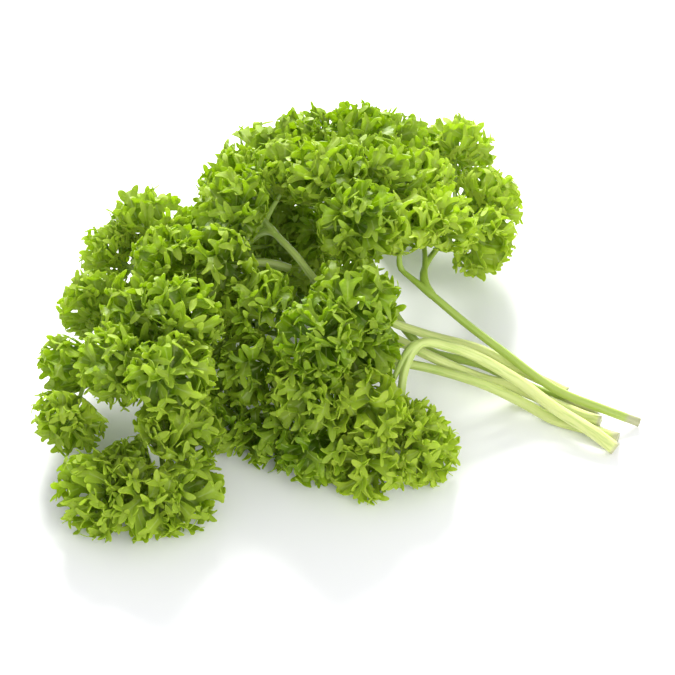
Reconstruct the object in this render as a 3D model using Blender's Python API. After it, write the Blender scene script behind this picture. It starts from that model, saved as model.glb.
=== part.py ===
"""Bunch of curly parsley, lying on a flat surface.

Six cut leaves lie with their stalks together at +X and their curled leaflets at -X.
Each leaf is one forked stalk and the leaflets at the ends of its branches.
Lengths are in metres, and +Z is up. The origin is in the middle of the bunch's
footprint, on the surface that it lies on. Routes and places are written in millimetres.
"""

import math

import bmesh
import bpy
from mathutils import Matrix, Vector, geometry

MM = 0.001

# Driving dimensions
GAP = 0.3 * MM  # left between pieces that touch
WELD = 0.001 * MM  # points of a tube this close are one
FOOTPRINT_MIDDLE = Vector((0.1, -7.52, 0.0))  # of the routes below, in millimetres
BRANCH_RADIUS = (1.0 * MM, 0.8 * MM)  # where it leaves the stalk, and at its end
TWIG_RADIUS = (0.7 * MM, 0.6 * MM)  # of the short stalk of one leaflet
STALK_ROUNDING, BRANCH_ROUNDING = 2, 1  # bevel resolutions: 8 sides and 6
STALK_RINGS = 2  # of its mesh, from one route point to the next
BRANCH_RINGS, TWIG_RINGS = 4, 3
LEAFLET_UNDER = 1.6 * MM  # from its middle back to where its twig ends
LOBES = 8  # around one leaflet, with a notch after each
LOBE_ROWS = 7  # from its crown to its underside
LOBE_DEPTH = 0.2  # of its reach, from the mean to a lobe or a notch
GOLDEN_ANGLE = math.pi * (3 - math.sqrt(5))  # from one leaflet's lobes to the next one's

LEAF_GREEN = (0.13, 0.30, 0.014, 1.0)
STALK_GREEN = (0.40, 0.55, 0.13, 1.0)

# One entry for each leaf. The stalk's route runs from its cut end, "radius" is given there
# and at the top, and each branch starts at the route point with the number "from". A leaflet
# is the place of its middle and its reach, from there to its lobes.
LEAVES = {
    "left_leaf": {
        "radius": (1.8, 1.1),
        "stalk": [
            (73, -34.4, 1.85), (68, -32, 1.95), (60, -28.8, 3.6), (48, -24.4, 6.2), (39, -22.8, 8),
            (24, -20.5, 15), (8, -12, 18.5), (-4, -3, 22.5), (-13, 1, 27), (-24, 1, 30),
            (-37, -5, 30), (-50, -14, 28),
        ],
        "branches": [
            {"from": 11, "to": (-56, -1, 26), "leaflets": [
                (-55, 12.5, 32, 12), (-64.5, 6.5, 27, 9.5), (-48, -7.5, 36, 11.5)]},
            {"from": 11, "to": (-64, -22, 22), "leaflets": [
                (-67.5, -10, 22, 11), (-55.5, -25, 32, 12.5), (-71.5, -29.5, 19, 11.5),
                (-73.8, -43.2, 14, 10.2)]},
            {"from": 11, "to": (-53, -36, 28), "leaflets": [
                (-44, -30.5, 38, 12), (-60, -40.5, 31, 11.5), (-46.5, -48, 34, 12)]},
            {"from": 11, "to": (-48, -60, 8.5), "leaflets": [
                (-44, -56, 19.5, 11.5), (-64, -68, 10, 12.5), (-52.5, -70.5, 11.5, 11.5),
                (-43.5, -66, 9, 11.5), (-56, -62, 10.5, 9.5)]},
        ],
    },
    "back_left_leaf": {
        "radius": (1.6, 1.0),
        "stalk": [
            (64, -26.4, 5.6), (60, -24.4, 6.4), (50, -20.3, 9), (39.2, -16.4, 13), (25.2, -13.5, 15.5),
            (10, -14.5, 24), (-4.2, -11, 31), (-12, -3, 36), (-18, 5, 37),
        ],
        "branches": [
            {"from": 8, "to": (-21, 10, 35), "leaflets": [
                (-15.5, 20, 43, 12), (-28.5, 8.5, 41.5, 12), (-32.5, -7.5, 38, 12)]},
            {"from": 8, "to": (-25, 27, 27), "leaflets": [
                (-29.5, 29.5, 33, 11.5), (-22.5, 42, 29.5, 12.5), (-30, 44, 12, 11.5)]},
            {"from": 8, "to": (-28, 13, 25), "leaflets": [
                (-39.5, 18.5, 21, 11.5), (-12, 4, 20, 12), (-21, 26, 13, 11)]},
        ],
    },
    "back_leaf": {
        "radius": (1.5, 1.0),
        "stalk": [
            (73, -29, 1.55), (60, -24.6, 2.4), (50, -21, 4.6), (39.2, -18.9, 9.5), (24, -15.5, 12),
            (14, -6, 20), (8, 4, 29), (3, 12, 33), (0, 20, 33),
        ],
        "branches": [
            {"from": 6, "to": (3, 6, 39), "leaflets": [
                (-3, 11.5, 52, 12), (10, 19.5, 46, 12), (5, -4, 50, 11.5)]},
            {"from": 8, "to": (3, 32, 31), "leaflets": [
                (-9, 40, 37.5, 12), (4, 34.5, 44.5, 12), (15.5, 42, 35.5, 12)]},
            {"from": 8, "to": (4, 36, 19), "leaflets": [
                (-11, 38, 14, 11.5), (16, 46, 12, 11.5), (-6, 28, 15, 11.5)]},
        ],
    },
    "right_leaf": {
        "radius": (1.4, 1.15),
        "stalk": [
            (84, -34.1, 1.45), (73, -32.2, 5.3), (60, -27.8, 8.6), (46, -19.3, 14.6), (35, -13.4, 20.5),
            (26.6, -9, 26),
        ],
        "branches": [
            {"from": 5, "to": (18, -3, 30), "leaflets": [(16.5, 2, 39.5, 12)]},
            {"from": 5, "to": (24, 9, 28), "leaflets": [(21, 26.5, 35, 12), (27.5, 10.5, 36, 11)]},
            {"from": 5, "to": (33, 27, 21), "leaflets": [
                (21, 57, 21, 10), (34.5, 55, 23.5, 11), (42, 35.5, 19.5, 11.5), (40, 23, 19, 10.5)]},
        ],
    },
    "front_leaf": {
        "radius": (1.7, 1.1),
        "stalk": [
            (77.5, -40.6, 1.75), (70, -37.2, 1.8), (60, -33.6, 2.1), (50.4, -29.2, 5), (39, -26.9, 10),
            (24, -24.4, 13.6), (10, -25, 17), (-2, -27, 18), (-8, -28, 17),
        ],
        "branches": [
            {"from": 8, "to": (-14, -24, 23), "leaflets": [
                (-22, -21.5, 33, 11.5), (-33, -19.5, 24.5, 12), (-22, -34, 24, 11.5)]},
            {"from": 7, "to": (0, -29, 29), "leaflets": [
                (-5.5, -38, 39, 11), (4, -33, 28, 11.5), (3.5, -27, 40.5, 12), (-8, -44, 26, 11.5)]},
            {"from": 8, "to": (-10, -38, 12), "leaflets": [
                (-18.5, -43, 8.5, 11.5), (-6, -51, 12, 11.5), (-30, -38.5, 9, 10.5)]},
        ],
    },
    "low_leaf": {
        "radius": (1.9, 1.1),
        "stalk": [
            (76.5, -44.8, 1.95), (70, -40.4, 4.6), (60, -33.7, 6.8), (50.4, -27.4, 10.8), (39.2, -24.2, 16.9),
            (30.8, -24, 21.2), (22.4, -25.5, 24.3), (18, -31, 20), (16.5, -38.5, 13), (15, -45, 9),
        ],
        "branches": [
            {"from": 6, "to": (13.4, -34.5, 16), "leaflets": [(7.5, -47, 21, 12)]},
            {"from": 9, "to": (14.5, -48, 8), "leaflets": [
                (22.5, -51.5, 9.5, 10.5), (8.5, -55, 9, 11.5), (19, -45, 11, 9)]},
        ],
    },
}


def place(point):
    """A place in millimetres as a vector in metres from the footprint's middle."""
    return (Vector(point[:3]) - FOOTPRINT_MIDDLE) * MM


def smooth_route(points, rings):
    """Points along a smooth curve through all the points given."""
    last = len(points) - 1
    slopes = [(points[min(i + 1, last)] - points[max(i - 1, 0)]) / 2 for i in range(last + 1)]
    route = [points[0]]
    for i in range(last):
        leg = geometry.interpolate_bezier(
            points[i], points[i] + slopes[i] / 3, points[i + 1] - slopes[i + 1] / 3, points[i + 1], rings + 1
        )
        route += leg[1:]
    return route


def bent_route(start, leaving, end, arriving, rings):
    """Points from start to end, along one direction at the start and another at the end."""
    pull = (end - start).length / 3
    return geometry.interpolate_bezier(start, start + leaving * pull, end - arriving * pull, end, rings + 1)


def add_tube(curve, route, radius):
    """A tube along the route, its radius changing evenly from the first value to the second."""
    spline = curve.splines.new("POLY")
    spline.points.add(len(route) - 1)
    for i, (point, place) in enumerate(zip(spline.points, route)):
        share = i / (len(route) - 1)
        point.co = (*place, 1.0)
        point.radius = radius[0] * (1 - share) + radius[1] * share


def tube_curve(name, rounding):
    curve = bpy.data.curves.new(name, "CURVE")
    curve.dimensions = "3D"
    curve.bevel_depth = 1.0
    curve.bevel_resolution = rounding
    curve.use_fill_caps = True
    return curve


def mesh_of(curve):
    """The curve's tubes as a mesh, with the caps joined to the sides."""
    guide = bpy.data.objects.new(curve.name, curve)
    mesh = bpy.data.meshes.new_from_object(guide)
    bpy.data.objects.remove(guide)
    bm = bmesh.new()
    bm.from_mesh(mesh)
    bmesh.ops.remove_doubles(bm, verts=bm.verts, dist=WELD)
    bmesh.ops.recalc_face_normals(bm, faces=bm.faces)
    bm.to_mesh(mesh)
    bm.free()
    return mesh


def add_object(name, mesh, material):
    mesh.materials.clear()
    mesh.materials.append(material)
    added = bpy.data.objects.new(name, mesh)
    bpy.context.scene.collection.objects.link(added)
    return added


def join_tubes(stalk, branches):
    """Unites the stalk with its branches, which also cross one another at the forks."""
    union = stalk.modifiers.new("branches", "BOOLEAN")
    union.operation = "UNION"
    union.object = branches
    union.use_self = True
    bpy.context.view_layer.update()
    graph = bpy.context.evaluated_depsgraph_get()
    joined = bpy.data.meshes.new_from_object(stalk.evaluated_get(graph))
    stalk.modifiers.remove(union)
    stalk.data = joined
    bpy.data.objects.remove(branches)
    joined.shade_smooth()


def grow_leaf(name, leaf, material):
    """Makes the forked stalk, and returns its leaflets' places and every tube's points.

    Each leaflet is (middle, direction it faces, reach, number of its twig's tube), and each
    tube is (route, radii at its two ends)."""
    stalk = smooth_route([place(point) for point in leaf["stalk"]], STALK_RINGS)
    stalk_radius = [value * MM for value in leaf["radius"]]
    stalk_curve = tube_curve(name, STALK_ROUNDING)
    branch_curve = tube_curve(name + "_branches", BRANCH_ROUNDING)
    add_tube(stalk_curve, stalk, stalk_radius)
    tubes = [(stalk, stalk_radius)]
    leaflets = []
    for branch in leaf["branches"]:
        at = min(branch["from"] * STALK_RINGS, len(stalk) - 1)
        along = (stalk[at] - stalk[at - 1]).normalized()
        end = place(branch["to"])
        outward = (end - stalk[at]).normalized()
        route = bent_route(stalk[at], along, end, outward, BRANCH_RINGS)
        add_tube(branch_curve, route, BRANCH_RADIUS)
        tubes.append((route, BRANCH_RADIUS))
        for point in branch["leaflets"]:
            middle = place(point)
            facing = (middle - end).normalized()
            foot = middle - facing * (LEAFLET_UNDER + GAP)
            twig = bent_route(end, outward, foot, facing, TWIG_RINGS)
            add_tube(branch_curve, twig, TWIG_RADIUS)
            tubes.append((twig, TWIG_RADIUS))
            leaflets.append((middle, facing, point[3] * MM, len(tubes) - 1))
    stalk_object = add_object(name + "_stalk", mesh_of(stalk_curve), material)
    branch_object = add_object(name + "_branches", mesh_of(branch_curve), material)
    join_tubes(stalk_object, branch_object)
    return leaflets, tubes


def samples(tube):
    """(point, radius) along the tube, closer together than its radius."""
    route, (first, last) = tube
    found = []
    for i in range(len(route) - 1):
        steps = max(1, math.ceil((route[i + 1] - route[i]).length / (last * 0.8)))
        for k in range(steps):
            share = (i + k / steps) / (len(route) - 1)
            found.append((route[i].lerp(route[i + 1], k / steps), first + (last - first) * share))
    return found + [(route[-1], last)]


def walls_round(leaflet, leaflets, tubes):
    """What presses on the leaflet: planes as (direction outward, distance from its middle)."""
    middle, facing, reach, twig = leaflet
    walls = [(-facing, LEAFLET_UNDER), (Vector((0, 0, -1)), middle.z)]
    for other_middle, _, other_reach, _ in leaflets:
        away = other_middle - middle
        if 0 < away.length < (reach + other_reach) * (1 + LOBE_DEPTH):
            share = reach / (reach + other_reach)
            walls.append((away.normalized(), (away.length - GAP) * share))
    for number, tube in tubes:
        if number == twig:
            continue
        for point, radius in samples(tube):
            away = point - middle
            if away.length < reach * (1 + LOBE_DEPTH) + radius:
                walls.append((away.normalized(), away.length - radius - GAP))
    return walls


def add_leaflet(name, number, leaflet, walls, material):
    """A curled leaflet: a domed rosette of lobes, as far out as its neighbours leave room."""
    middle, facing, full_reach, _ = leaflet
    spin = Matrix.Rotation(GOLDEN_ANGLE * number, 3, "Z")
    turn = Vector((0, 0, 1)).rotation_difference(facing).to_matrix() @ spin
    bm = bmesh.new()
    bmesh.ops.create_uvsphere(bm, u_segments=2 * LOBES, v_segments=LOBE_ROWS, radius=1.0)
    for vert in bm.verts:
        around = math.atan2(vert.co.y, vert.co.x)
        down = math.acos(max(-1.0, min(1.0, vert.co.z)))
        curl = math.sin(down) * math.cos(LOBES * around) * math.cos(LOBE_ROWS * down)
        direction = turn @ vert.co
        reach = full_reach * (1 + LOBE_DEPTH * curl)
        for outward, distance in walls:
            toward = outward.dot(direction)
            if toward > 0:
                reach = min(reach, distance / toward)
        vert.co = middle + direction * reach
    mesh = bpy.data.meshes.new(name)
    bm.to_mesh(mesh)
    bm.free()
    mesh.shade_smooth()
    add_object(name, mesh, material)


def plant_material(name, colour, roughness):
    material = bpy.data.materials.new(name)
    material.use_nodes = True
    shader = material.node_tree.nodes["Principled BSDF"]
    shader.inputs["Base Color"].default_value = colour
    shader.inputs["Roughness"].default_value = roughness
    shader.inputs["Metallic"].default_value = 0.0
    return material


def main():
    for old in list(bpy.data.objects):
        bpy.data.objects.remove(old)
    stalk_material = plant_material("stalk", STALK_GREEN, 0.4)
    leaf_material = plant_material("leaflet", LEAF_GREEN, 0.5)
    tubes = []
    grown = {}
    for name, leaf in LEAVES.items():
        leaflets, leaf_tubes = grow_leaf(name, leaf, stalk_material)
        grown[name] = [(middle, facing, reach, (name, twig)) for middle, facing, reach, twig in leaflets]
        tubes += [((name, number), tube) for number, tube in enumerate(leaf_tubes)]
    everywhere = [leaflet for leaflets in grown.values() for leaflet in leaflets]
    for name, leaflets in grown.items():
        for number, leaflet in enumerate(leaflets, 1):
            walls = walls_round(leaflet, everywhere, tubes)
            add_leaflet(f"{name}_leaflet_{number}", number, leaflet, walls, leaf_material)


main()
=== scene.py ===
import math
import random

import bmesh
import bpy
from mathutils import Matrix, Vector, geometry, noise
from mathutils.bvhtree import BVHTree


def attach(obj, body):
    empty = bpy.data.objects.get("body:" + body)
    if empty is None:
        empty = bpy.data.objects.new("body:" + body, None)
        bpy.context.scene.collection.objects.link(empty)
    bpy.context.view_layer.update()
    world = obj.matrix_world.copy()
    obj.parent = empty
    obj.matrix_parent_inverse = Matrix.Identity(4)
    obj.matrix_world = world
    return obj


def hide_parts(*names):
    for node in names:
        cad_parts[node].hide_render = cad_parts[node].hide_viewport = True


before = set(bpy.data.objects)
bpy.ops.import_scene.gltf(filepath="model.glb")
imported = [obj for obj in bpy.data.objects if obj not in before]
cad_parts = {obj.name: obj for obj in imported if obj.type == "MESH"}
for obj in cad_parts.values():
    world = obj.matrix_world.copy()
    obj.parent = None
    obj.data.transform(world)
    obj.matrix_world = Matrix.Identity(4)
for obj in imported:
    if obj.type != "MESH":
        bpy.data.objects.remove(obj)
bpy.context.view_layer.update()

# A bunch of curly parsley lying on a white table: six cut leaves, each a forked stalk with
# curled leaflets at the ends of its twigs. The routes are the ones the frame was built on.

mm = 0.001
footprintMiddle = Vector((0.1, -7.52, 0.0))  # of the routes below, in millimetres
goldenAngle = math.pi * (3 - math.sqrt(5))

# Where each leaf's stalk and branches run, in millimetres. The stalk starts at its cut end,
# "radius" is given there and at its top, and "from" counts the stalk's route points. A leaflet
# is the place of its middle and its reach.
leaves = {
    "left_leaf": {
        "radius": (1.8, 1.1),
        "stalk": [
            (73, -34.4, 1.85), (68, -32, 1.95), (60, -28.8, 3.6), (48, -24.4, 6.2), (39, -22.8, 8),
            (24, -20.5, 15), (8, -12, 18.5), (-4, -3, 22.5), (-13, 1, 27), (-24, 1, 30),
            (-37, -5, 30), (-50, -14, 28),
        ],
        "branches": [
            {"from": 11, "to": (-56, -1, 26), "leaflets": [
                (-55, 12.5, 32, 12), (-64.5, 6.5, 27, 9.5), (-48, -7.5, 36, 11.5)]},
            {"from": 11, "to": (-64, -22, 22), "leaflets": [
                (-67.5, -10, 22, 11), (-55.5, -25, 32, 12.5), (-71.5, -29.5, 19, 11.5),
                (-73.8, -43.2, 14, 10.2)]},
            {"from": 11, "to": (-53, -36, 28), "leaflets": [
                (-44, -30.5, 38, 12), (-60, -40.5, 31, 11.5), (-46.5, -48, 34, 12)]},
            {"from": 11, "to": (-48, -60, 8.5), "leaflets": [
                (-44, -56, 19.5, 11.5), (-64, -68, 10, 12.5), (-52.5, -70.5, 11.5, 11.5),
                (-43.5, -66, 9, 11.5), (-56, -62, 10.5, 9.5)]},
        ],
    },
    "back_left_leaf": {
        "radius": (1.6, 1.0),
        "stalk": [
            (64, -26.4, 5.6), (60, -24.4, 6.4), (50, -20.3, 9), (39.2, -16.4, 13), (25.2, -13.5, 15.5),
            (10, -14.5, 24), (-4.2, -11, 31), (-12, -3, 36), (-18, 5, 37),
        ],
        "branches": [
            {"from": 8, "to": (-21, 10, 35), "leaflets": [
                (-15.5, 20, 43, 12), (-28.5, 8.5, 41.5, 12), (-32.5, -7.5, 38, 12)]},
            {"from": 8, "to": (-25, 27, 27), "leaflets": [
                (-29.5, 29.5, 33, 11.5), (-22.5, 42, 29.5, 12.5), (-30, 44, 12, 11.5)]},
            {"from": 8, "to": (-28, 13, 25), "leaflets": [
                (-39.5, 18.5, 21, 11.5), (-12, 4, 20, 12), (-21, 26, 13, 11)]},
        ],
    },
    "back_leaf": {
        "radius": (1.5, 1.0),
        "stalk": [
            (73, -29, 1.55), (60, -24.6, 2.4), (50, -21, 4.6), (39.2, -18.9, 9.5), (24, -15.5, 12),
            (14, -6, 20), (8, 4, 29), (3, 12, 33), (0, 20, 33),
        ],
        "branches": [
            {"from": 6, "to": (3, 6, 39), "leaflets": [
                (-3, 11.5, 52, 12), (10, 19.5, 46, 12), (5, -4, 50, 11.5)]},
            {"from": 8, "to": (3, 32, 31), "leaflets": [
                (-9, 40, 37.5, 12), (4, 34.5, 44.5, 12), (15.5, 42, 35.5, 12)]},
            {"from": 8, "to": (4, 36, 19), "leaflets": [
                (-11, 38, 14, 11.5), (16, 46, 12, 11.5), (-6, 28, 15, 11.5)]},
        ],
    },
    "right_leaf": {
        "radius": (1.4, 1.15),
        "stalk": [
            (84, -34.1, 1.45), (73, -32.2, 5.3), (60, -27.8, 8.6), (46, -19.3, 14.6), (35, -13.4, 20.5),
            (26.6, -9, 26),
        ],
        "branches": [
            {"from": 5, "to": (18, -3, 30), "leaflets": [(16.5, 2, 39.5, 12)]},
            {"from": 5, "to": (24, 9, 28), "leaflets": [(21, 26.5, 35, 12), (27.5, 10.5, 36, 11)]},
            {"from": 5, "to": (33, 27, 21), "leaflets": [
                (21, 57, 21, 10), (34.5, 55, 23.5, 11), (42, 35.5, 19.5, 11.5), (40, 23, 19, 10.5)]},
        ],
    },
    "front_leaf": {
        "radius": (1.7, 1.1),
        "stalk": [
            (77.5, -40.6, 1.75), (70, -37.2, 1.8), (60, -33.6, 2.1), (50.4, -29.2, 5), (39, -26.9, 10),
            (24, -24.4, 13.6), (10, -25, 17), (-2, -27, 18), (-8, -28, 17),
        ],
        "branches": [
            {"from": 8, "to": (-14, -24, 23), "leaflets": [
                (-22, -21.5, 33, 11.5), (-33, -19.5, 24.5, 12), (-22, -34, 24, 11.5)]},
            {"from": 7, "to": (0, -29, 29), "leaflets": [
                (-5.5, -38, 39, 11), (4, -33, 28, 11.5), (3.5, -27, 40.5, 12), (-8, -44, 26, 11.5)]},
            {"from": 8, "to": (-10, -38, 12), "leaflets": [
                (-18.5, -43, 8.5, 11.5), (-6, -51, 12, 11.5), (-30, -38.5, 9, 10.5)]},
        ],
    },
    "low_leaf": {
        "radius": (1.9, 1.1),
        "stalk": [
            (76.5, -44.8, 1.95), (70, -40.4, 4.6), (60, -33.7, 6.8), (50.4, -27.4, 10.8),
            (39.2, -24.2, 16.9), (30.8, -24, 21.2), (22.4, -25.5, 24.3), (18, -31, 20), (16.5, -38.5, 13),
            (15, -45, 9),
        ],
        "branches": [
            {"from": 6, "to": (13.4, -34.5, 16), "leaflets": [(7.5, -47, 21, 12)]},
            {"from": 9, "to": (14.5, -48, 8), "leaflets": [
                (22.5, -51.5, 9.5, 10.5), (8.5, -55, 9, 11.5), (19, -45, 11, 9)]},
        ],
    },
}


def place(point):
    # a place in millimetres as a vector in metres from the footprint's middle
    return (Vector(point[:3]) - footprintMiddle) * mm


def linear(hexColour):
    channels = [int(hexColour[i:i + 2], 16) / 255 for i in (0, 2, 4)]
    return [c / 12.92 if c <= 0.04045 else ((c + 0.055) / 1.055) ** 2.4 for c in channels] + [1.0]


def addNode(tree, kind, settings=None, values=None, links=None):
    # settings are the node's own fields; values and links go to its sockets by name or number
    node = tree.nodes.new(kind)
    for name, value in (settings or {}).items():
        setattr(node, name, value)
    for socket, value in (values or {}).items():
        node.inputs[socket].default_value = value
    for socket, source in (links or {}).items():
        tree.links.new(source, node.inputs[socket])
    return node


def blankMaterial(name):
    material = bpy.data.materials.new(name)
    material.use_nodes = True
    material.node_tree.nodes.clear()
    return material, material.node_tree


def calculate(tree, operation, *terms, clamp=False):
    # each term is a number or a socket
    node = addNode(tree, "ShaderNodeMath", {"operation": operation, "use_clamp": clamp})
    for number, term in enumerate(terms):
        if isinstance(term, (int, float)):
            node.inputs[number].default_value = term
        else:
            tree.links.new(term, node.inputs[number])
    return node.outputs[0]


def blendColours(tree, share, first, second):
    # first and second are hex colours or sockets; share is a socket
    node = addNode(tree, "ShaderNodeMix", {"data_type": "RGBA"}, links={0: share})
    for number, colour in ((6, first), (7, second)):
        if isinstance(colour, str):
            node.inputs[number].default_value = linear(colour)
        else:
            tree.links.new(colour, node.inputs[number])
    return node.outputs[2]


def ramp(tree, source, low, high, out=(0.0, 1.0)):
    # a smooth step of source from low to high
    node = addNode(tree, "ShaderNodeMapRange", {"interpolation_type": "SMOOTHSTEP"}, {
        "From Min": low, "From Max": high, "To Min": out[0], "To Max": out[1]}, {"Value": source})
    return node.outputs["Result"]


def noiseAt(tree, where, scale, detail=2.0):
    return addNode(tree, "ShaderNodeTexNoise", None, {"Scale": scale, "Detail": detail}, {
        "Vector": where}).outputs["Fac"]


def bumpFrom(tree, height, look):
    return addNode(tree, "ShaderNodeBump", None, {
        "Strength": look["bump"], "Distance": look["bumpDepth"] * mm}, {"Height": height}).outputs[0]


leafLook = {
    "deep": "7b9f0f",  # grown blade
    "fresh": "c4d845",  # younger, yellower blade
    "inner": "507a08",  # the oldest blade near the twig, darker also as painted shade deep in the leaflet
    "innerShadeShare": 0.85,
    "freshInnerShade": 0.5,  # how much less of that older colour and painted shade a fresh leaf has
    "under": "b5cb48",  # its paler, duller underside
    "underShare": (0.25, 0.55),  # from bulge to bulge
    "underRoughness": 0.6,
    "pale": "d8e594",  # veins and leaf bases
    "paleShare": (0.9, 0.1),  # from the twig to the tips
    "through": "cfe62a",  # light coming through the blade
    "throughTint": (0.55, 0.75),  # how much of its own colour that takes away
    "throughShare": 0.55,
    "tip": "d0df60",  # the very tips of the teeth, partly their pale points and partly a painted highlight
    "tipHighlightShare": 0.45,
    "blotch": 14,  # mm, from a deeper patch to a fresher one
    "patchShare": 0.4,  # how much fresher such a patch is
    "mottle": 1.2,  # mm, between the small bulges of the blade
    "mottleShare": 0.35,  # how much fresher the highest of them are
    "veinWidth": 0.24,  # of half the blade's width
    "bump": 0.35,
    "bumpDepth": 0.3,  # mm
    "roughness": 0.42,  # a waxy leaf
    "ior": 1.45,
}


def parsleyBlade(look, underside):
    # Living leaf tissue under a thin wax skin: a soft sheen on top, and light shines through
    # the thin blade, which is what makes parsley look fresh. Below it is paler and matt.
    material, tree = blankMaterial("parsley blade underside" if underside else "parsley blade")
    where = addNode(tree, "ShaderNodeTexCoord").outputs["Object"]
    growth = addNode(tree, "ShaderNodeAttribute", {"attribute_name": "growth"}).outputs["Fac"]
    tone = addNode(tree, "ShaderNodeAttribute", {"attribute_name": "tone"}).outputs["Fac"]
    blade = addNode(tree, "ShaderNodeUVMap", {"uv_map": "blade"}).outputs["UV"]
    blotches = noiseAt(tree, where, 1 / (look["blotch"] * mm))
    mottle = noiseAt(tree, where, 1 / (look["mottle"] * mm))

    # deeper and fresher patches, and darker near the twig: older blade and painted shade in the leaflet's
    # hollows
    patches = ramp(tree, blotches, 0.35, 0.65)
    freshness = calculate(tree, "MULTIPLY_ADD", patches, look["patchShare"], tone, clamp=True)
    colour = blendColours(tree, freshness, look["deep"], look["fresh"])
    bulges = ramp(tree, mottle, 0.35, 0.9, (0.0, look["mottleShare"]))
    colour = blendColours(tree, bulges, colour, look["fresh"])
    # painted shade: the blade darkens towards the twig, deep inside the leaflet, as well as being older
    # there
    innerShadeWeight = calculate(tree, "MULTIPLY_ADD", tone, -look["freshInnerShade"], 1.0)
    innerShade = ramp(tree, growth, 0.1, 0.75, (look["innerShadeShare"], 0.0))
    colour = blendColours(tree, calculate(tree, "MULTIPLY", innerShadeWeight, innerShade, clamp=True), colour, look["inner"])
    if underside:
        colour = blendColours(tree, ramp(tree, mottle, 0.2, 0.8, look["underShare"]), colour, look["under"])

    # a pale vein along the middle of every tab, and light tips: pale points and a painted highlight
    across = addNode(tree, "ShaderNodeSeparateXYZ", links={0: blade}).outputs["X"]
    vein = ramp(tree, calculate(tree, "ABSOLUTE", across), 0.0, look["veinWidth"], (1.0, 0.0))
    young = ramp(tree, growth, 0.1, 0.85, look["paleShare"])
    veinShare = calculate(tree, "MULTIPLY", vein, young)
    colour = blendColours(tree, veinShare, colour, look["pale"])
    # painted highlight, together with the pale points, at the tips of the teeth
    colour = blendColours(tree, ramp(tree, growth, 0.85, 1.0, (0.0, look["tipHighlightShare"])), colour, look["tip"])

    bump = bumpFrom(tree, calculate(tree, "SUBTRACT", mottle, veinShare), look)
    skin = addNode(tree, "ShaderNodeBsdfPrincipled", None, {
        "Roughness": look["underRoughness" if underside else "roughness"], "IOR": look["ior"],
    }, {"Base Color": colour, "Normal": bump})
    shine = blendColours(tree, ramp(tree, mottle, 0.3, 0.7, look["throughTint"]), colour, look["through"])
    through = addNode(tree, "ShaderNodeBsdfTranslucent", links={"Color": shine, "Normal": bump})
    mixed = addNode(tree, "ShaderNodeMixShader", None, {0: look["throughShare"]}, {
        1: skin.outputs[0], 2: through.outputs[0]})
    addNode(tree, "ShaderNodeOutputMaterial", links={"Surface": mixed.outputs[0]})
    return material


stalkLook = {
    "low": "d2d98e",  # pale where it was cut
    "high": "a9c15c",
    "rib": "8cab3c",  # the green lines along its ribs
    "ribShare": 0.6,
    "olive": "86a02e",  # the older, darker leaf
    "dry": "a9a68a",  # the drying cut
    "dryShare": 0.8,
    "dryLength": 0.07,  # of the whole stalk, where it is oldest
    "dryEdge": 0.02,  # of the whole stalk, over which it fades out
    "streak": 0.5,  # the size of streaks round the stalk, of its radius
    "streakStretch": 0.06,  # how they are drawn out, for each mm along it
    "bump": 0.3,
    "bumpDepth": 0.2,  # mm
    "roughness": (0.36, 0.48),
    "ior": 1.42,
    "milk": 0.25,  # how much light goes in
    "milkReach": (1.0, 1.2, 0.4),  # mm, of red, green and blue
}


def parsleyStalk(look):
    # A juicy ribbed stalk with a smooth skin: glossy, with green lines along it, and slightly
    # milky because light goes into it.
    material, tree = blankMaterial("parsley stalk")
    skinMap = addNode(tree, "ShaderNodeUVMap", {"uv_map": "skin"}).outputs["UV"]
    skinPlace = addNode(tree, "ShaderNodeSeparateXYZ", links={0: skinMap}).outputs
    leafMap = addNode(tree, "ShaderNodeUVMap", {"uv_map": "leafPlace"}).outputs["UV"]
    leafPlace = addNode(tree, "ShaderNodeSeparateXYZ", links={0: leafMap}).outputs
    climb, tone = leafPlace["X"], leafPlace["Y"]
    turn = calculate(tree, "MULTIPLY", skinPlace["X"], 2 * math.pi)
    grain = addNode(tree, "ShaderNodeCombineXYZ", links={
        0: calculate(tree, "COSINE", turn), 1: calculate(tree, "SINE", turn),
        2: calculate(tree, "MULTIPLY", skinPlace["Y"], look["streakStretch"])}).outputs[0]
    streaks = noiseAt(tree, grain, 1 / look["streak"], 3.0)

    colour = blendColours(tree, ramp(tree, climb, 0.1, 0.9), look["low"], look["high"])
    colour = blendColours(tree, tone, colour, look["olive"])
    greenLines = ramp(tree, streaks, 0.45, 0.75, (0.0, look["ribShare"]))
    colour = blendColours(tree, greenLines, colour, look["rib"])
    wilted = calculate(tree, "MULTIPLY_ADD", tone, -look["dryLength"], climb)
    dryness = ramp(tree, wilted, 0.0, look["dryEdge"], (look["dryShare"], 0.0))
    colour = blendColours(tree, dryness, colour, look["dry"])

    skin = addNode(tree, "ShaderNodeBsdfPrincipled", None, {
        "IOR": look["ior"], "Subsurface Weight": look["milk"], "Subsurface Radius": look["milkReach"],
        "Subsurface Scale": 1.0 * mm,
    }, {
        "Base Color": colour, "Normal": bumpFrom(tree, streaks, look),
        "Roughness": ramp(tree, streaks, 0.3, 0.8, look["roughness"]),
    })
    addNode(tree, "ShaderNodeOutputMaterial", links={"Surface": skin.outputs[0]})
    return material


tableLook = {
    "paint": "fbfbfa",
    "roughness": (0.6, 0.7),
    "clouds": 6.0,  # of its gloss, in a metre
    "size": 6.0,  # metres
}


def whiteTable(look):
    # Matt white laminate, even and plain, with only a breath of unevenness in its gloss.
    material, tree = blankMaterial("white table")
    where = addNode(tree, "ShaderNodeTexCoord").outputs["Object"]
    gloss = ramp(tree, noiseAt(tree, where, look["clouds"]), 0.3, 0.7, look["roughness"])
    skin = addNode(tree, "ShaderNodeBsdfPrincipled", None, {"Base Color": linear(look["paint"])}, {
        "Roughness": gloss})
    addNode(tree, "ShaderNodeOutputMaterial", links={"Surface": skin.outputs[0]})
    return material


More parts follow.
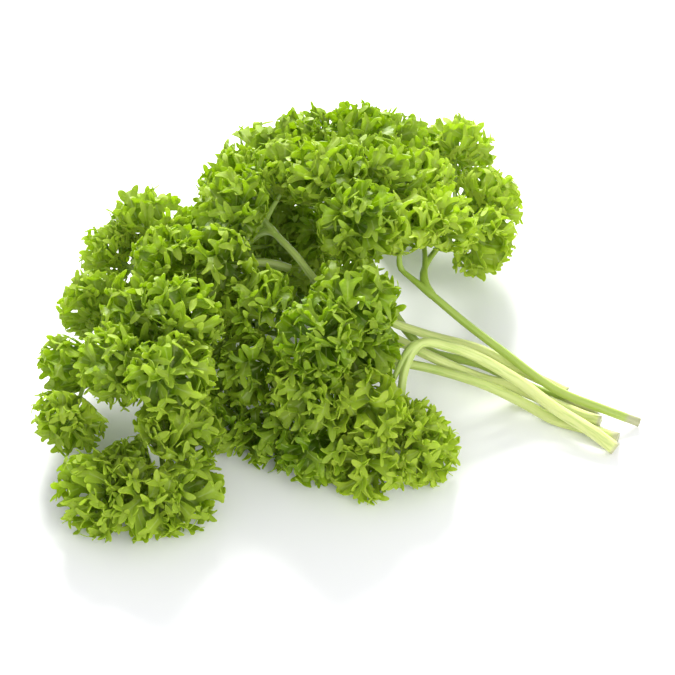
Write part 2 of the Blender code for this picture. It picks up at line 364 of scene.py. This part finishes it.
frond = {
    "length": (3.0, 4.2, 3.7, 1.8, 1.8),  # mm: stub, lobe, lobule, and the two halves of a tooth
    "uneven": 0.15,  # of a length, either way
    "width": (2.8, 4.2, 3.9, 2.0, 0.5),  # mm, across the far end of each
    "bulge": 0.12,  # how far the middle of a far end stands out, of the length
    "channel": 0.16,  # how deep a blade is folded, of its width
    "fan": (0, 50, 44, 36),  # degrees between neighbours of three
    "fanUneven": 6,  # degrees either way
    "crisp": (0, 34, 40, 30),  # degrees, bent up or down in turn
    "crispUneven": 10,  # degrees either way
    "twist": 14,  # degrees either way
    "toothCurl": 35,  # degrees either way, at the middle of a tooth
    "foot": 1.0,  # mm wide where it leaves the twig
    "patterns": 8,  # different fronds
}
toothLevel = 3  # the stub is 0, lobes are 1 and lobules 2


def growBlade(bm, left, right, facing, level, dice):
    # The edge from left to right grows one tab along facing's Y axis, X is across it. The tab's
    # far end splits in three, and each third grows on until it is a tooth.
    length = frond["length"][level] * mm * dice.uniform(1 - frond["uneven"], 1 + frond["uneven"])
    halfWidth = frond["width"][level] * mm / 2
    grown = bmesh.ops.extrude_edge_only(bm, edges=[bm.edges.get((left, right))])["geom"]
    ends = [part for part in grown if isinstance(part, bmesh.types.BMVert)]
    ends.sort(key=lambda vert: (vert.co - left.co).length)
    middle = (left.co + right.co) / 2
    for vert, side in zip(ends, (-1, 1)):
        vert.co = middle + facing @ Vector((side * halfWidth, length, 0))
    if level < toothLevel:
        first = bmesh.utils.edge_split(bm.edges.get(ends), ends[0], 1 / 3)[1]
        second = bmesh.utils.edge_split(bm.edges.get((first, ends[1])), first, 1 / 2)[1]
        for vert in (first, second):
            vert.co += facing @ Vector((0, frond["bulge"] * length, -2 * halfWidth * frond["channel"]))
        ends = [ends[0], first, second, ends[1]]
    layBlade(bm, [left, right], ends, level)
    if level == toothLevel:
        curl = math.radians(dice.uniform(-frond["toothCurl"], frond["toothCurl"]))
        growBlade(bm, *ends, facing @ Matrix.Rotation(curl, 3, "X"), level + 1, dice)
    elif level < toothLevel:
        bend = dice.choice((-1, 1))
        for number, (near, far) in enumerate(zip(ends, ends[1:])):
            fan = frond["fan"][level + 1] + dice.uniform(-1, 1) * frond["fanUneven"]
            crisp = frond["crisp"][level + 1] + dice.uniform(-1, 1) * frond["crispUneven"]
            fan, crisp = math.radians(fan) * (number - 1), math.radians(crisp) * bend * (-1) ** number
            twist = math.radians(dice.uniform(-1, 1) * frond["twist"])
            turn = Matrix.Rotation(-fan, 3, "Z") @ Matrix.Rotation(crisp, 3, "X")
            growBlade(bm, near, far, facing @ turn @ Matrix.Rotation(twist, 3, "Y"), level + 1, dice)


def layBlade(bm, inner, outer, level):
    # the map runs from -1 to 1 across a tab and one unit along it; growth is 1 at the tips
    layer = bm.loops.layers.uv["blade"]
    growth = bm.verts.layers.float["growth"]
    spots = {vert: (side, level) for vert, side in zip(inner, (-1, 1))}
    for number, vert in enumerate(outer):
        spots[vert] = (2 * number / (len(outer) - 1) - 1, level + 1)
        vert[growth] = (level + 1) / len(frond["length"])
    face = bm.edges.get(outer[:2]).link_faces[0]
    for loop in face.loops:
        loop[layer].uv = spots[loop.vert]


def frondPattern(number):
    dice = random.Random(f"frond {number}")
    bm = bmesh.new()
    bm.loops.layers.uv.new("blade")
    for name in ("growth", "tone"):
        bm.verts.layers.float.new(name)
    foot = [bm.verts.new((side * frond["foot"] / 2 * mm, 0, 0)) for side in (-1, 1)]
    bm.edges.new(foot)
    growBlade(bm, *foot, Matrix.Identity(3), 0, dice)
    bmesh.ops.recalc_face_normals(bm, faces=bm.faces)
    bm.faces.ensure_lookup_table()
    if bm.faces[0].normal.z < 0:
        bmesh.ops.reverse_faces(bm, faces=bm.faces)  # the upper side is up
    for edge in bm.edges:
        edge.smooth = not edge.is_boundary  # a thin flat blade with a crisp rim
    mesh = bpy.data.meshes.new(f"frond pattern {number}")
    bm.to_mesh(mesh)
    bm.free()
    return mesh


leaflet = {
    "tilts": (6, 46, 52, 58, 88, 96, 92, 100, 72),  # degrees of each frond from the leaflet's axis
    "fits": 10.6,  # mm of reach, for fronds of the size above
    "under": 1.6,  # mm, from its middle back to where the fronds start
    "overlap": 4.0,  # mm that teeth reach into the next leaflet
    "spread": 1.2,  # how far they go where nothing is near, for a reach of 1
    "ragged": 0.2,  # how unevenly far
    "easy": 0.6,  # of the room to its neighbours, where nothing is pressed
    "waver": 0.9,  # mm that the blades wander
    "waverLength": 6,  # mm
    "thickness": 0.22,  # mm of the blade
    "lowest": 0.3,  # mm above the table
    "turn": 0.2,  # radians either way, from the golden angle
    "roll": 0.7,  # radians either way, of a frond about its own axis
    "sizes": (0.95, 1.1),  # of the size that fits, for a leaflet
    "frondSizes": (0.9, 1.1),  # and for each of its fronds
    "toneSpread": 0.15,  # either way, for a leaflet and again for each frond
    "patternStep": 3,  # a leaflet starts with the frond pattern this many after the last one's
}


def wander(point):
    # a smooth sideways drift; one noise is read at three places far apart
    return Vector([noise.noise(point + Vector((0, 0, apart))) for apart in (0.0, 31.7, 67.3)])


def squeeze(vert, middle, reach, room):
    # Its neighbours and the table press a leaflet's fronds into the room that it has, more and
    # more near the limit, so nothing folds over.
    away = vert.co - middle
    hit = room.ray_cast(middle, away.normalized())[3]
    unevenness = leaflet["ragged"] * noise.noise(vert.co / (leaflet["waverLength"] * mm))
    free = reach * (leaflet["spread"] + unevenness)
    limit = max(hit, min(hit + leaflet["overlap"] * mm, free)) if hit else free
    easy = limit * leaflet["easy"]
    if away.length > easy:
        reach = easy + (limit - easy) * math.tanh((away.length - easy) / (limit - easy))
        vert.co = middle + away.normalized() * reach
    lowest = leaflet["lowest"] * mm
    if vert.co.z < 2 * lowest:
        vert.co.z = lowest * (1 + math.exp(vert.co.z / lowest - 2))


def leafletMesh(node, number, grown, tone, patterns):
    # fronds round the leaflet's axis like petals, then pressed into the room of its CAD solid
    middle, facing, reach = grown
    dice = random.Random(node)
    bm = bmesh.new()
    foot = middle - facing * leaflet["under"] * mm
    upright = Vector((0, 0, 1)).rotation_difference(facing).to_matrix().to_4x4()
    tone += dice.uniform(-1, 1) * leaflet["toneSpread"]
    size = reach / (leaflet["fits"] * mm) * dice.uniform(*leaflet["sizes"])
    for count, tilt in enumerate(leaflet["tilts"]):
        old = len(bm.verts)
        bm.from_mesh(patterns[(number * leaflet["patternStep"] + count) % len(patterns)])
        bm.verts.ensure_lookup_table()
        fresh = bm.verts[old:]
        around = goldenAngle * (count + number) + dice.uniform(-1, 1) * leaflet["turn"]
        lean = math.radians(90 - tilt)  # a frond grows along Y
        roll = dice.uniform(-1, 1) * leaflet["roll"]
        turn = (
            Matrix.Translation(foot) @ upright @ Matrix.Rotation(around, 4, "Z")
            @ Matrix.Rotation(lean, 4, "X") @ Matrix.Rotation(roll, 4, "Y")
            @ Matrix.Scale(size * dice.uniform(*leaflet["frondSizes"]), 4)
        )
        bmesh.ops.transform(bm, matrix=turn, verts=fresh)
        layer = bm.verts.layers.float["tone"]
        frondTone = tone + dice.uniform(-1, 1) * leaflet["toneSpread"]
        for vert in fresh:
            vert[layer] = frondTone
    room = BVHTree.FromObject(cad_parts[node], bpy.context.evaluated_depsgraph_get())
    for vert in bm.verts:
        vert.co += wander(vert.co / (leaflet["waverLength"] * mm)) * leaflet["waver"] * mm
        squeeze(vert, middle, reach, room)
    mesh = bpy.data.meshes.new(node.replace("leaflet", "curls"))
    bm.to_mesh(mesh)
    bm.free()
    mesh.shade_smooth()
    return mesh


def addLeaflet(node, mesh, sides):
    for material in sides:
        mesh.materials.append(material)
    piece = bpy.data.objects.new(mesh.name, mesh)
    bpy.context.scene.collection.objects.link(piece)
    rounded = piece.modifiers.new("rounded teeth", "SUBSURF")
    rounded.levels = rounded.render_levels = 1
    body = piece.modifiers.new("blade thickness", "SOLIDIFY")
    body.thickness = leaflet["thickness"] * mm
    body.offset = 0.0
    body.material_offset = 1  # the underside's
    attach(piece, "root")
    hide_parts(node)


stalkShape = {
    "ribs": 6,
    "ribbed": (24, 0.09),  # sides of the stalk, and how deep it sinks between ribs, of its radius
    "round": (12, 0.0),  # the same of branches and twigs
    "branchRadius": (1.0, 0.75),  # mm, at its fork and at its end
    "twigRadius": (0.72, 0.55),
    "climbs": (0.0, 0.8, 0.9, 1.0),  # from the cut to the stalk's end, its branches' and its twigs'
    "knuckle": 0.3,  # how much wider a branch is just past its fork
    "knucklePlace": 2.0,  # mm from the fork
    "dome": (35, 65, 86),  # degrees round the rounded end that the next ones fork from
    "stalkRings": 4,  # from one route point to the next, an even number
    "branchRings": 10,
    "twigRings": 7,
    "intoLeaflet": 1.2,  # mm that a twig runs on among the fronds
}


def smoothRoute(points, rings):
    # points along a smooth curve through all the points given
    last = len(points) - 1
    slopes = [(points[min(i + 1, last)] - points[max(i - 1, 0)]) / 2 for i in range(last + 1)]
    route = [points[0]]
    for i in range(last):
        leg = geometry.interpolate_bezier(
            points[i], points[i] + slopes[i] / 3, points[i + 1] - slopes[i + 1] / 3, points[i + 1], rings + 1
        )
        route += leg[1:]
    return route


def bentRoute(start, leaving, end, arriving, rings):
    # points from start to end, along one direction at the start and another at the end
    pull = (end - start).length / 3
    return geometry.interpolate_bezier(start, start + leaving * pull, end - arriving * pull, end, rings + 1)


def branchRadii(route, radius):
    # a swelling just past its fork, then evenly thinner to its end
    radii = []
    for i, point in enumerate(route):
        share = i / (len(route) - 1)
        away = (point - route[0]).length / (stalkShape["knucklePlace"] * mm)
        knuckle = stalkShape["knuckle"] * away * math.exp(1 - away)
        radii.append((radius[0] * (1 - share) + radius[1] * share) * mm * (1 + knuckle))
    return radii


def roundedEnd(route, radii):
    # smaller and smaller rings, so that no rim shows where the next ones fork off
    end, radius = route[-1], radii[-1]
    heading = (end - route[-2]).normalized()
    angles = [math.radians(angle) for angle in stalkShape["dome"]]
    return (
        route + [end + heading * radius * math.sin(angle) for angle in angles],
        radii + [radius * math.cos(angle) for angle in angles],
    )


def addTube(bm, route, radii, section, climbs, tone):
    # one ring of the tube is drawn out along the route, ring by ring, and both ends are closed
    sides, ribDepth = section
    spot = bm.verts.layers.int["spot"]
    along = bm.verts.layers.float["along"]
    climb = bm.verts.layers.float["climb"]
    heading = (route[1] - route[0]).normalized()
    ring = bmesh.ops.create_circle(bm, segments=sides, radius=1.0)["verts"]
    for number, vert in enumerate(ring):
        rib = math.cos(stalkShape["ribs"] * 2 * math.pi * number / sides)
        vert.co *= 1 - ribDepth * (1 - rib) / 2
        vert[spot] = number
    start = Matrix.Translation(route[0]) @ heading.to_track_quat("Z", "Y").to_matrix().to_4x4()
    bmesh.ops.transform(bm, matrix=start @ Matrix.Scale(radii[0], 4), verts=ring)
    everyFace = []
    firstEdges = list(dict.fromkeys(edge for vert in ring for edge in vert.link_edges))
    edges = firstEdges
    for vert in ring:
        vert[climb] = climbs[0]
    length = 0.0
    for i in range(1, len(route)):
        after = route[min(i + 1, len(route) - 1)] - route[i - 1]
        turn = heading.rotation_difference(after.normalized()).to_matrix().to_4x4()
        heading = after.normalized()
        grown = bmesh.ops.extrude_edge_only(bm, edges=edges)["geom"]
        verts = [part for part in grown if isinstance(part, bmesh.types.BMVert)]
        everyFace += [part for part in grown if isinstance(part, bmesh.types.BMFace)]
        fresh = set(verts)
        newEdges = [part for part in grown if isinstance(part, bmesh.types.BMEdge)]
        edges = [edge for edge in newEdges if fresh.issuperset(edge.verts)]
        step = (
            Matrix.Translation(route[i]) @ turn
            @ Matrix.Scale(radii[i] / radii[i - 1], 4) @ Matrix.Translation(-route[i - 1])
        )
        bmesh.ops.transform(bm, matrix=step, verts=verts)
        length += (route[i] - route[i - 1]).length
        share = i / (len(route) - 1)
        for vert in verts:
            vert[along] = length
            vert[climb] = climbs[0] * (1 - share) + climbs[1] * share
    for rim in (firstEdges, edges):
        everyFace += bmesh.ops.contextual_create(bm, geom=rim)["faces"]
    layStalk(bm, everyFace, sides, tone)


def layStalk(bm, faces, sides, tone):
    # writes both maps; a face that closes the ring gets the last side, not the first again
    skin, leafPlace = bm.loops.layers.uv["skin"], bm.loops.layers.uv["leafPlace"]
    spot = bm.verts.layers.int["spot"]
    along = bm.verts.layers.float["along"]
    climb = bm.verts.layers.float["climb"]
    for face in faces:
        wraps = max(vert[spot] for vert in face.verts) == sides - 1 and len(face.verts) == 4
        for loop in face.loops:
            number = loop.vert[spot]
            if wraps and number == 0:
                number = sides
            loop[skin].uv = (number / sides, loop.vert[along] / mm)
            loop[leafPlace].uv = (loop.vert[climb], tone)


def stalkMesh():
    # "skin" runs round a tube and along it in millimetres, "leafPlace" up the leaf from 0 to 1
    bm = bmesh.new()
    for layer in ("skin", "leafPlace"):
        bm.loops.layers.uv.new(layer)
    bm.verts.layers.int.new("spot")
    for layer in ("along", "climb"):
        bm.verts.layers.float.new(layer)
    return bm


def finishMesh(bm, name):
    bmesh.ops.recalc_face_normals(bm, faces=bm.faces)
    mesh = bpy.data.meshes.new(name)
    bm.to_mesh(mesh)
    bm.free()
    return mesh


def growStalk(name, leaf, tone, material):
    # returns the place, direction and reach of every leaflet on it
    shape = stalkShape
    cutClimb, stalkClimb, branchClimb, twigClimb = shape["climbs"]
    stalk = smoothRoute([place(point) for point in leaf["stalk"]], shape["stalkRings"])
    last = len(stalk) - 1
    radii = [
        (leaf["radius"][0] * (1 - i / last) + leaf["radius"][1] * i / last) * mm for i in range(last + 1)
    ]
    stem = stalkMesh()
    addTube(stem, *roundedEnd(stalk, radii), shape["ribbed"], (cutClimb, stalkClimb), tone)
    branches = stalkMesh()
    leaflets = []
    for branch in leaf["branches"]:
        at = min(branch["from"] * shape["stalkRings"], last)
        along = (stalk[at] - stalk[at - shape["stalkRings"] // 2]).normalized()
        end = place(branch["to"])
        outward = (end - stalk[at]).normalized()
        route = bentRoute(stalk[at], along, end, outward, shape["branchRings"])
        climbs = (stalkClimb * at / last, branchClimb)
        radii = branchRadii(route, shape["branchRadius"])
        addTube(branches, *roundedEnd(route, radii), shape["round"], climbs, tone)
        for point in branch["leaflets"]:
            middle = place(point)
            facing = (middle - end).normalized()
            tip = middle - facing * leaflet["under"] * mm
            twig = bentRoute(end, outward, tip, facing, shape["twigRings"])
            twig.append(tip + facing * shape["intoLeaflet"] * mm)
            radii = branchRadii(twig, shape["twigRadius"])
            addTube(branches, twig, radii, shape["round"], (branchClimb, twigClimb), tone)
            leaflets.append((middle, facing, point[3] * mm))
    joinStalk(name, stem, branches, material)
    return leaflets


def joinStalk(name, stem, branches, material):
    # the stalk and its branches grew as one, so they are made one skin
    pieces = []
    for part, bm in (("_ribbed_stalk", stem), ("_branches", branches)):
        pieces.append(bpy.data.objects.new(name + part, finishMesh(bm, name + part)))
        bpy.context.scene.collection.objects.link(pieces[-1])
    stemPiece, branchPiece = pieces
    union = stemPiece.modifiers.new("branches", "BOOLEAN")
    union.operation = "UNION"
    union.object = branchPiece
    union.use_self = True
    bpy.context.view_layer.update()
    joined = bpy.data.meshes.new_from_object(stemPiece.evaluated_get(bpy.context.evaluated_depsgraph_get()))
    stemPiece.modifiers.remove(union)
    stemPiece.data = joined
    bpy.data.objects.remove(branchPiece)
    joined.materials.clear()
    joined.materials.append(material)
    joined.shade_smooth()
    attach(stemPiece, "root")
    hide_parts(name + "_stalk")


cameraView = {
    "target": (-0.83, -11.46, 20),  # mm, in the frame
    "elevation": 45,  # degrees above the table
    "distance": 700,  # mm
    "across": 189,  # mm seen at that distance
    "sensor": 36,  # mm
}
studio = {
    "sky": "f9faff",
    "skyStrength": 0.73,
    "keyPlace": (-60, 980, 620),  # mm: from behind and above
    "keySize": 520,
    "keyPower": 32.0,
    "fillPlace": (330, -720, 480),  # from the front right
    "fillSize": 900,
    "fillPower": 6.0,
}


def softbox(name, spot, size, power):
    lamp = bpy.data.lights.new(name, "AREA")
    lamp.shape = "DISK"
    lamp.size = size * mm
    lamp.energy = power
    box = bpy.data.objects.new(name, lamp)
    box.location = Vector(spot) * mm
    box.rotation_euler = (-Vector(spot)).to_track_quat("-Z", "Y").to_euler()
    bpy.context.scene.collection.objects.link(box)


def setStage():
    bm = bmesh.new()
    bmesh.ops.create_grid(bm, x_segments=1, y_segments=1, size=tableLook["size"] / 2)
    mesh = bpy.data.meshes.new("white_table")
    bm.to_mesh(mesh)
    bm.free()
    mesh.materials.append(whiteTable(tableLook))
    top = bpy.data.objects.new("white_table", mesh)
    bpy.context.scene.collection.objects.link(top)
    softbox("key", studio["keyPlace"], studio["keySize"], studio["keyPower"])
    softbox("fill", studio["fillPlace"], studio["fillSize"], studio["fillPower"])
    sky = bpy.data.worlds.new("studio")
    sky.use_nodes = True
    shade = sky.node_tree.nodes["Background"]
    shade.inputs["Color"].default_value = linear(studio["sky"])
    shade.inputs["Strength"].default_value = studio["skyStrength"]
    bpy.context.scene.world = sky
    bpy.context.scene.view_settings.view_transform = "Standard"


def addCamera():
    lens = bpy.data.cameras.new("camera")
    lens.sensor_width = cameraView["sensor"]
    lens.lens = cameraView["sensor"] * cameraView["distance"] / cameraView["across"]
    eye = bpy.data.objects.new("camera", lens)
    tilt = math.radians(cameraView["elevation"])
    back = Vector((0, -math.cos(tilt), math.sin(tilt)))
    eye.location = (Vector(cameraView["target"]) + back * cameraView["distance"]) * mm
    eye.rotation_euler = (math.pi / 2 - tilt, 0, 0)
    bpy.context.scene.collection.objects.link(eye)
    bpy.context.scene.camera = eye


addCamera()
setStage()
print("table, light and camera are set")

leafSides = [parsleyBlade(leafLook, underside) for underside in (False, True)]
stalkGreen = parsleyStalk(stalkLook)
patterns = [frondPattern(number) for number in range(frond["patterns"])]
print(len(patterns), "frond patterns grown")

# how olive each leaf's stalk is, and how fresh its leaflets are; a higher freshness also stands in for how
# brightly a leaf is lit, partly painted light
tones = {
    "left_leaf": (0.0, 0.4),
    "back_left_leaf": (0.0, 0.35),
    "back_leaf": (0.8, 0.2),
    "right_leaf": (0.7, 1.0),
    "front_leaf": (0.25, 0.1),
    "low_leaf": (0.0, 1.0),
}
for leafName, leaf in leaves.items():
    olive, fresh = tones[leafName]
    leaflets = growStalk(leafName, leaf, olive, stalkGreen)
    for number, grown in enumerate(leaflets, 1):
        node = f"{leafName}_leaflet_{number}"
        addLeaflet(node, leafletMesh(node, number, grown, fresh, patterns), leafSides)
    print(leafName, "grown with", len(leaflets), "leaflets")
for pattern in patterns:
    bpy.data.meshes.remove(pattern)
